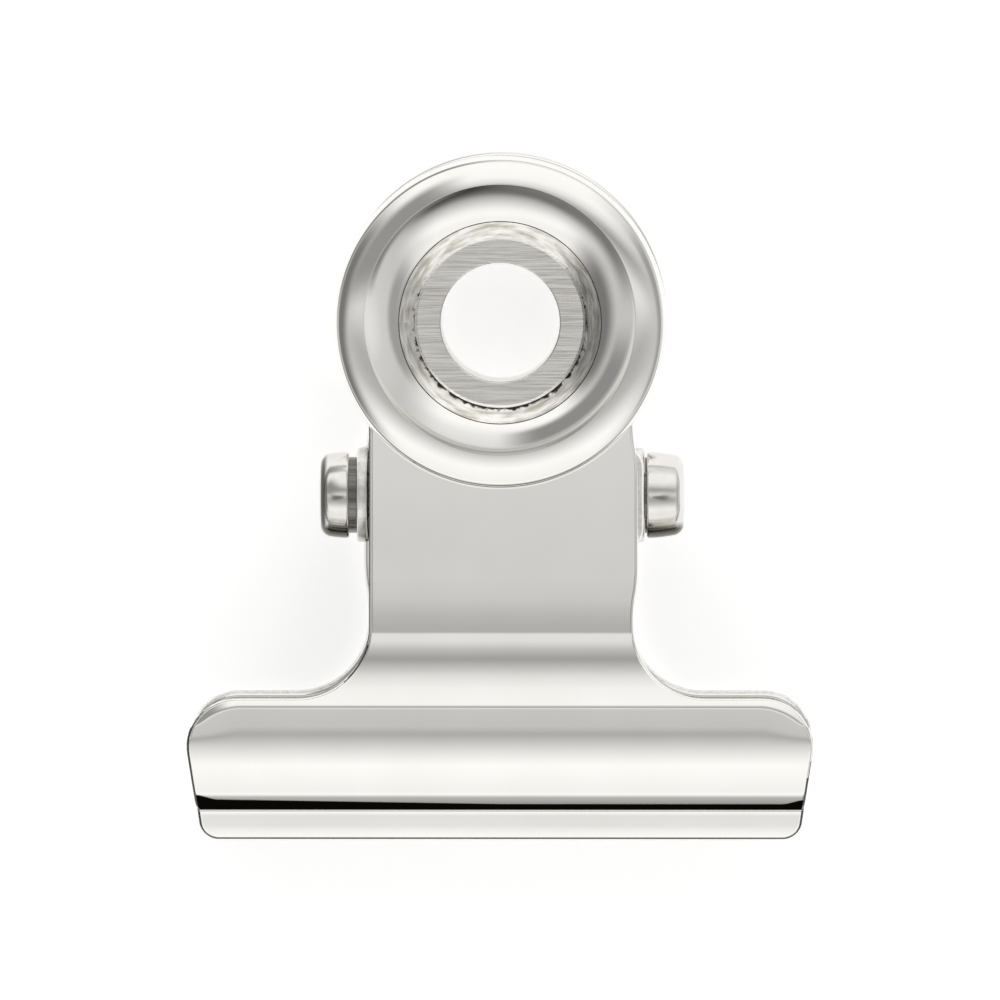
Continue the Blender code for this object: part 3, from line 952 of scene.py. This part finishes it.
def makeLeaf(metals):
    path = jawSection()
    crest = max(z for y, z, lean in path)
    leaf, zones = pressLeaf(punchBlank())
    print("leaf: blank punched and pressed,", len(leaf.data.polygons), "faces")
    plate = spinDisc(crest)
    pieces = [plate, makeEar(-1, ears["innerFace"]), makeEar(1, ears["outerFace"])]
    for piece in pieces + [leaf]:
        piece.data.materials.clear()
        for metal in metals:
            piece.data.materials.append(metal)
    flatFacing, stripFacing = disc["frontFacing"]
    for face in plate.data.polygons:
        middle = Vector(face.center) - Vector((0, disc["centre"], 0))
        radius = math.hypot(middle.x, middle.y)
        if face.normal.z > flatFacing and radius < disc["ring"]:
            face.material_index = ringZone
        elif face.normal.z > flatFacing and radius < disc["corner"]:
            face.material_index = stepZone
        # painted shade: the strip between chamfer and dish gets the dark edge metal, a dark line at the
        # crease
        elif face.normal.z > stripFacing and radius < disc["recess"]:
            face.material_index = shadedEdgeZone
    for ear in pieces[1:]:
        for face in ear.data.polygons:
            face.material_index = earZone
    for face, zone in zip(leaf.data.polygons, zones):
        face.material_index = zone
    leaf.data.shade_smooth()
    makeActive(leaf)
    for piece in pieces:
        piece.select_set(True)
    bpy.ops.object.join()
    leaf.name = "frontLeaf"
    # the pressed sheet keeps its own exact normals
    pressed = leaf.data.attributes["pressedNormal"].data
    corners = []
    for loop, auto in zip(leaf.data.loops, leaf.data.corner_normals):
        exact = Vector(pressed[loop.vertex_index].vector)
        corners.append(exact if exact.length > 0.5 else Vector(auto.vector))
    leaf.data.normals_split_custom_set(corners)
    leaf.data.attributes.remove(leaf.data.attributes["pressedNormal"])
    print("leaf: disc and ears joined,", len(leaf.data.polygons), "faces")
    return leaf


# hinge pin, caps and spring

hingePin = {"radius": 1.15, "length": 17.38, "steps": 72, "endRound": 0.15, "endSteps": 4, "smooth": 35}


def makePin(metal):
    s = hingePin
    deselectAll()
    bpy.ops.mesh.primitive_cylinder_add(vertices=s["steps"], radius=s["radius"], depth=s["length"],
                                        rotation=(0, math.pi / 2, 0))
    pin = bpy.context.object
    bpy.ops.object.transform_apply(location=True, rotation=True, scale=True)
    pin.name = "hingePin"
    editPiece(pin)
    pickFaces(pin, lambda co, normal: near(abs(normal.x), 1.0))
    bpy.ops.mesh.bevel(offset=s["endRound"], segments=s["endSteps"], profile=0.5)
    smoothShade(pin, s["smooth"])
    pin.data.materials.append(metal)
    return pin


pinCap = {
    "ear": 7.38,            # pin centre to the foot of the boss, beside the ear
    "pinEnd": 9.01,         # and to the floor of the bore
    "boss": 1.95,
    "bore": 1.2,
    "radius": 2.2,
    "seatRound": 0.12,
    "edge": (0.6, 84),      # the outer edge rolls over: radius, lean where the low dome starts
    "steps": 96,
    "arcSteps": (4, 5),     # fewest steps of an arc, degrees per step
    "smooth": 35,           # degrees
    "seatSlack": 0.001,     # faces further below the drum's seat belong to the boss
    # left and right: pin centre to the drum, then the drum's radius, lean at the seat and the edge
    "sides": {-1: (7.77, 5.5, 1, 9.6), 1: (7.48, 6.8, 1, 12)},
}


def arcOn(points, radius, start, end):
    # carries a turned profile round an arc that faces from one angle to the other
    x, z = points[-1]
    x -= radius * math.cos(math.radians(start))
    z -= radius * math.sin(math.radians(start))
    fewest, degrees = pinCap["arcSteps"]
    count = max(fewest, math.ceil((end - start) / degrees))
    for step in range(1, count + 1):
        angle = math.radians(start + (end - start) * step / count)
        points.append((x + radius * math.cos(angle), z + radius * math.sin(angle)))


def capProfile(side):
    # from the floor of the bore round the boss, the drum and the edge to the top of the dome
    s = pinCap
    seat, swell, seatLean, edgeLean = s["sides"][side]
    edge, domeLean = s["edge"]
    foot, depth = s["ear"] - seat, s["pinEnd"] - seat
    profile = [(0.0, depth), (s["bore"], depth), (s["bore"], foot), (s["boss"], foot)]
    profile += [(s["boss"], 0.0), (s["radius"] - s["seatRound"], 0.0)]
    arcOn(profile, s["seatRound"], -90, seatLean)
    arcOn(profile, swell, seatLean, edgeLean)
    arcOn(profile, edge, edgeLean, domeLean)
    arcOn(profile, profile[-1][0] / math.cos(math.radians(domeLean)), domeLean, 90)
    return profile


def makeCap(name, side, metals):
    # turned button: a swelling drum whose outer edge rolls over into a low dome
    s = pinCap
    cap = spinProfile(name, capProfile(side), s["steps"], closed=False)
    print(name, "reaches", round(s["sides"][side][0] + max(v.co.z for v in cap.data.vertices), 3), "mm")
    smoothShade(cap, s["smooth"])
    for metal in metals:
        cap.data.materials.append(metal)
    for face in cap.data.polygons:
        face.material_index = 1 if face.center.z < -s["seatSlack"] else 0
    seat = side * s["sides"][side][0]
    settle(cap, Matrix.Translation((seat, 0, 0)) @ Matrix.Rotation(side * math.pi / 2, 4, "Y"))
    return cap


torsionSpring = {
    "wire": 0.6,
    "coil": 1.6,            # radius to the middle of the wire
    "pitch": 1.1,
    "turns": 9.5,
    "pointsPerTurn": 32,
    "legReach": 2.4,
    "legBend": 0.4,
    "legTip": 3.15,         # just clear of the back of the neck
    "bendSteps": 6,
    "roundSteps": 4,
    "smooth": 50,           # degrees
}


def makeSpring(metal):
    s = torsionSpring
    start = -s["pitch"] * s["turns"] / 2
    leg = [(s["legReach"], s["legTip"])]
    for step in range(s["bendSteps"] + 1):
        angle = math.pi / 2 * step / s["bendSteps"]
        leg.append((s["legReach"] - s["legBend"] * (1 - math.cos(angle)),
                    s["coil"] + s["legBend"] * (1 - math.sin(angle))))
    points = [(start, y, z) for y, z in leg]
    for step in range(round(s["turns"] * s["pointsPerTurn"]) + 1):
        angle = 2 * math.pi * step / s["pointsPerTurn"]
        points.append((start + s["pitch"] * step / s["pointsPerTurn"],
                       -s["coil"] * math.sin(angle), s["coil"] * math.cos(angle)))
    points += [(-start, y, -z) for y, z in reversed(leg)]
    wire = bpy.data.curves.new("torsionSpring", "CURVE")
    wire.dimensions = "3D"
    wire.bevel_depth = s["wire"] / 2
    wire.bevel_resolution = s["roundSteps"]
    wire.use_fill_caps = True
    line = wire.splines.new("POLY")
    line.points.add(len(points) - 1)
    for point, place in zip(line.points, points):
        point.co = (*place, 1.0)
    spring = bpy.data.objects.new("torsionSpring", wire)
    bpy.context.scene.collection.objects.link(spring)
    makeActive(spring)
    bpy.ops.object.convert(target="MESH")
    spring = bpy.context.object
    editPiece(spring)
    closeUp()
    smoothShade(spring, s["smooth"])
    spring.data.materials.append(metal)
    return spring


# build the clip

frontLeaf = makeLeaf([makeSilverPlate(), makeBrushedRing(), makeRawChamfer(), makeShadedEdge(),
                      makeSatinEar()])
rearLeaf = frontLeaf.copy()
rearLeaf.data = frontLeaf.data.copy()
rearLeaf.name = "rearLeaf"
bpy.context.scene.collection.objects.link(rearLeaf)
# the rear leaf keeps painted shade only where its edges face down
lowTop, highTop = edgeShade["rearTops"]
for face in rearLeaf.data.polygons:
    fromDisc = math.hypot(face.center.x, face.center.y - disc["centre"])
    dull = face.material_index == shadedEdgeZone and fromDisc > disc["ridge"]
    if dull and face.normal.y > edgeShade["rearDown"]:
        face.material_index = sheetZone
    elif face.normal.y > edgeShade["rearUp"] and lowTop < face.center.y < highTop:
        face.material_index = earZone
settle(frontLeaf)
settle(rearLeaf, Matrix.Rotation(math.pi, 4, "Y"))
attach(frontLeaf, "front_half")
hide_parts("front_leaf")
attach(rearLeaf, "rear_half")
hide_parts("rear_leaf")

pinMetal = makeDrawnPin()
pin = makePin(pinMetal)
settle(pin)
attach(pin, "rear_half")
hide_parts("hinge_pin")

capMetal = makeTurnedCap()
for capName, side in (("left_pin_cap", -1), ("right_pin_cap", 1)):
    cap = makeCap("leftCap" if side < 0 else "rightCap", side, [capMetal, pinMetal])
    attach(cap, "rear_half")
    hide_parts(capName)
print("pin and caps done")

spring = makeSpring(makeSpringSteel())
settle(spring)
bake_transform(spring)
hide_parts("torsion_spring")
print("spring done")


# stage, light and camera

shot = {
    "tilt": 2.45,           # degrees, the camera stands this far towards the disc
    "side": 0.6,            # degrees, and this far to the right
    "distance": 1.5,        # metres
    "frameWidth": 0.0512,   # metres across the picture at the clip
    "pinInPicture": (500.75, 495.0),
    "picture": 1000,
}


def makeCamera():
    s = shot
    back = Matrix.Rotation(-math.radians(s["tilt"]), 3, "X") @ Vector((0, 0, 1))
    back = Matrix.Rotation(math.radians(s["side"]), 3, "Y") @ back
    right = Vector((0, 1, 0)).cross(back).normalized()
    up = back.cross(right).normalized()
    perPixel = s["frameWidth"] / s["picture"]
    middle = s["picture"] / 2
    target = pinCentre + right * (middle - s["pinInPicture"][0]) * perPixel
    target -= up * (middle - s["pinInPicture"][1]) * perPixel
    lens = bpy.data.cameras.new("camera")
    lens.sensor_width = 36.0
    lens.lens = lens.sensor_width * s["distance"] / s["frameWidth"]
    lens.clip_end = 50.0
    camera = bpy.data.objects.new("camera", lens)
    camera.matrix_world = Matrix((
        (right.x, up.x, back.x, target.x + back.x * s["distance"]),
        (right.y, up.y, back.y, target.y + back.y * s["distance"]),
        (right.z, up.z, back.z, target.z + back.z * s["distance"]),
        (0, 0, 0, 1)))
    bpy.context.scene.collection.objects.link(camera)
    bpy.context.scene.camera = camera


tent = {
    # brightness of the light tent along the line through front, top and back:
    # degrees from straight up, towards the disc positive
    "along": ((-110, 0.8), (-100, 0.06), (-82, 0.04), (-77.5, 0.17), (-73.5, 0.43), (-69.5, 0.64),
              (-65.5, 0.83), (-62, 1.0), (-58, 1.09), (-52, 1.0), (-34, 1.1), (-29, 0.98),
              (-21, 0.72), (-16, 0.54), (-10, 0.47), (-6, 0.47), (-3, 0.56), (0, 0.68),
              (4.5, 0.84), (8, 0.82), (13, 0.56), (19, 0.37), (25, 0.6), (30, 0.83), (35, 0.94),
              (40, 1.05), (64, 1.1), (75, 0.9), (88, 0.8), (91, 0.42), (97, 0.4), (110, 0.8)),
    # and from left to right: sine of the angle from straight up
    "across": ((-1.0, 0.6), (0.0, 0.62), (0.8, 0.6), (0.95, 0.68), (1.0, 0.85)),
    "sideStart": 0.45,
    "sideFull": 0.85,
    "tint": (1.0, 0.998, 0.99),
    # dark strips hung in the tent, all in degrees: the side they hang on, from the right towards
    # the disc, half width and soft ends; the middle from straight up, half depth and soft edges;
    # brightness
    "strips": ((180, 22, 28, 58.5, 1.5, 13, 0.2), (0, 18, 22, 60, 2, 6, 0.37),
               (135, 22, 26, 80, 5, 7, 0.29), (140, 14, 24, 36, 8, 16, 0.32),
               (235, 15, 35, 86, 2, 12, 0.2), (315, 15, 20, 88, 2, 5, 0.25),
               (350, 10, 25, 12, 5, 4, 0.16), (190, 10, 25, 12, 5, 4, 0.16)),
}


def grey(value):
    return (*[value * share for share in tent["tint"]], 1.0)


def makeTent():
    # light tent: grey top with the lens in it, white walls front and back, dark table edge
    s = tent
    world = bpy.data.worlds.new("light tent")
    bpy.context.scene.world = world
    world.use_nodes = True
    tree = world.node_tree
    where = addNode(tree, "TexCoord").outputs["Generated"]
    turned = addNode(tree, "VectorRotate", {"Vector": where, "Angle": -math.radians(shot["tilt"])},
                     rotation_type="X_AXIS")
    parts = addNode(tree, "SeparateXYZ", {"Vector": turned})
    angle = addNode(tree, "Math", {0: parts.outputs["Y"], 1: parts.outputs["Z"]}, operation="ARCTAN2")
    share = addNode(tree, "MapRange", {"Value": angle, "From Min": -math.pi, "From Max": math.pi})
    along = addNode(tree, "ValToRGB", {"Fac": share})
    rampStops(along.color_ramp, [((degrees / 180 + 1) / 2, grey(v)) for degrees, v in s["along"]])
    sideways = addNode(tree, "MapRange", {"Value": parts.outputs["X"], "From Min": -1.0,
                                          "From Max": 1.0})
    across = addNode(tree, "ValToRGB", {"Fac": sideways})
    rampStops(across.color_ramp, [((sine + 1) / 2, grey(v)) for sine, v in s["across"]])
    off = addNode(tree, "Math", {0: parts.outputs["X"]}, operation="ABSOLUTE")
    weight = addNode(tree, "MapRange", {"Value": off, "From Min": s["sideStart"],
                                        "From Max": s["sideFull"]}, interpolation_type="SMOOTHSTEP")
    light = addNode(tree, "Mix", {"Factor": weight, 6: along, 7: across}, data_type="RGBA")
    level = addNode(tree, "VectorMath", {0: turned, 1: (1.0, 1.0, 0.0)}, operation="MULTIPLY")
    bearing = addNode(tree, "VectorMath", {0: level}, operation="NORMALIZE")
    lean = addNode(tree, "Math", {0: parts.outputs["Z"]}, operation="ARCCOSINE")
    for side, half, ends, middle, depth, edges, value in s["strips"]:
        turn = math.radians(side)
        beside = addNode(tree, "VectorMath", {0: bearing, 1: (math.cos(turn), math.sin(turn), 0.0)},
                         operation="DOT_PRODUCT")
        wide = addNode(tree, "MapRange",
                       {"Value": beside, "From Min": math.cos(math.radians(half + ends)),
                        "From Max": math.cos(math.radians(half))}, interpolation_type="SMOOTHSTEP")
        away = addNode(tree, "Math", {0: lean, 1: math.radians(middle)}, operation="SUBTRACT")
        away = addNode(tree, "Math", {0: away}, operation="ABSOLUTE")
        deep = addNode(tree, "MapRange", {"Value": away, "From Min": math.radians(depth + edges),
                                          "From Max": math.radians(depth)},
                       interpolation_type="SMOOTHSTEP")
        cover = addNode(tree, "Math", {0: wide, 1: deep}, operation="MULTIPLY")
        light = addNode(tree, "Mix", {"Factor": cover, 6: light, 7: grey(value)}, data_type="RGBA")
    feed(tree, tree.nodes["Background"], {"Color": light})


# size and the gap under the clip in metres
table = {"size": 4.0, "gap": 0.00001, "colour": "#F4F4F4", "glow": 0.61, "shadow": 0.74}


def makeTable():
    # white table: for the camera and for reflections its own light makes it white, and the part
    # of it that is lit by the tent keeps the clip's shadow
    s = table
    deselectAll()
    bpy.ops.mesh.primitive_plane_add(size=s["size"], location=(0, 0, -s["gap"]))
    floor = bpy.context.object
    floor.name = "table"
    bpy.ops.object.transform_apply(location=True, rotation=True, scale=True)
    paper = bpy.data.materials.new("white table paper")
    paper.use_nodes = True
    tree = paper.node_tree
    tree.nodes.remove(tree.nodes["Principled BSDF"])
    matt = addNode(tree, "BsdfDiffuse", {"Color": hexColour(s["colour"])})
    glow = addNode(tree, "Emission", {"Strength": s["glow"]})
    lit = addNode(tree, "BsdfDiffuse", {"Color": (s["shadow"], s["shadow"], s["shadow"], 1.0)})
    both = addNode(tree, "AddShader", {0: glow, 1: lit})
    ray = addNode(tree, "LightPath")
    seen = addNode(tree, "Math", {0: ray.outputs["Is Camera Ray"], 1: ray.outputs["Is Glossy Ray"]},
                   operation="MAXIMUM")
    seen = addNode(tree, "Math", {0: seen, 1: ray.outputs["Is Transmission Ray"]}, operation="MAXIMUM")
    mixed = addNode(tree, "MixShader", {0: seen, 1: matt, 2: both})
    feed(tree, tree.nodes["Material Output"], {"Surface": mixed})
    floor.data.materials.append(paper)


makeCamera()
makeTent()
makeTable()
bpy.context.scene.view_settings.view_transform = "Standard"
print("stage, light and camera done")

bpy.context.view_layer.update()
